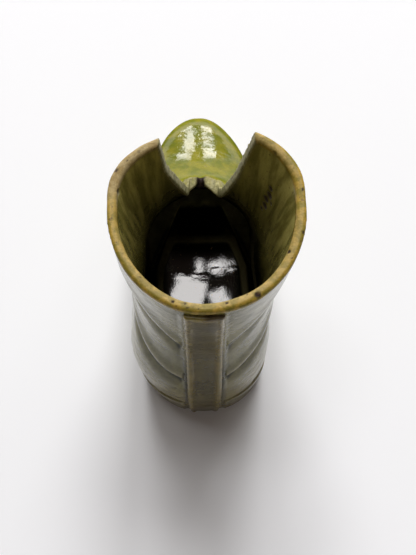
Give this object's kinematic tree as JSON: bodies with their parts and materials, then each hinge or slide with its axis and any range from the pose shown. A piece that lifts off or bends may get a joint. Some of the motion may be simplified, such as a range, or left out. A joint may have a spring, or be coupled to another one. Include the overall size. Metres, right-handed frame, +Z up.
{
  "type": "boot pin cushion holder",
  "caption": "Hollow glazed pottery ankle boot with a wide mouth, a notch cut down its front and a ribbed strap up its back, made to hold a pin cushion.",
  "frame": {"origin": "middle of the footprint box on the floor under the sole", "axes": "+Z up, +Y from the heel to the toe, +X to the right seen from behind"},
  "size_m": [0.0536, 0.1128, 0.1],
  "materials": {
    "leg_glaze": "olive green lead glaze, glossy",
    "sole_glaze": "thin dark glaze over buff clay",
    "strap_glaze": "olive glaze, thinner on the ribs"
  },
  "bodies": {
    "root": {"upper_left_half": "leg_glaze", "upper_right_half": "leg_glaze", "outsole": "sole_glaze", "heel_block": "sole_glaze", "back_strap": "strap_glaze", "pull_tab": "strap_glaze"}
  },
  "joints": []
}
